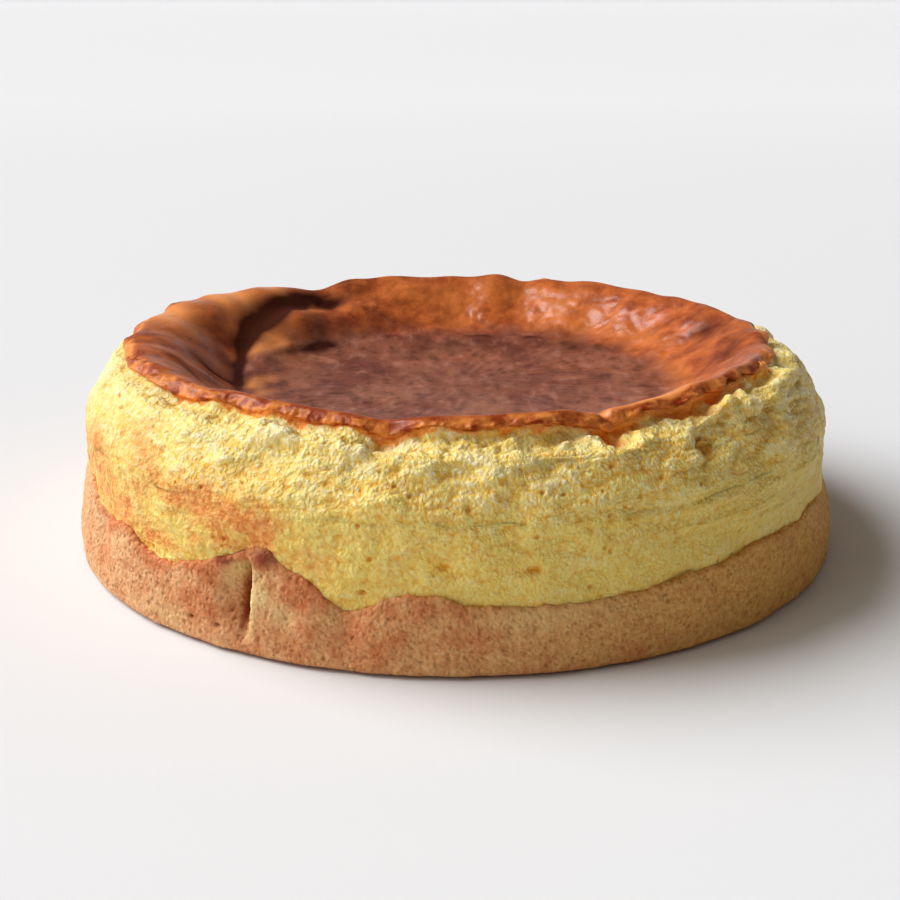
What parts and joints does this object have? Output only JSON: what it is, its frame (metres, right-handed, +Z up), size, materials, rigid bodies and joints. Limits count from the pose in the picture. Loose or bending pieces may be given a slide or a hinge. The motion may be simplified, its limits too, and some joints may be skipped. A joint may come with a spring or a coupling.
{
  "type": "gluten-free cheesecake",
  "caption": "Whole round baked cheesecake: crumbly yellow filling with a browned, sunken top and a torn rim, on a thick shortcrust base with an uneven, pinched edge.",
  "frame": {"origin": "centre of the flat underside", "axes": "+Z up, -Y towards the viewer of the picture"},
  "size_m": [0.1998, 0.2001, 0.0544],
  "materials": {
    "baked_crust": "baked shortcrust pastry, pinkish tan with browner blotches, fine porous grain, matte",
    "cheese_filling": "pale yellow moist crumb with fine pores, matte, toasted orange in places",
    "browned_skin": "smooth baked skin, orange-brown at the rim to dark red-brown in the hollow, soft sheen"
  },
  "bodies": {
    "root": {"crust_base": "baked_crust", "cheese_filling": "cheese_filling"}
  },
  "joints": []
}
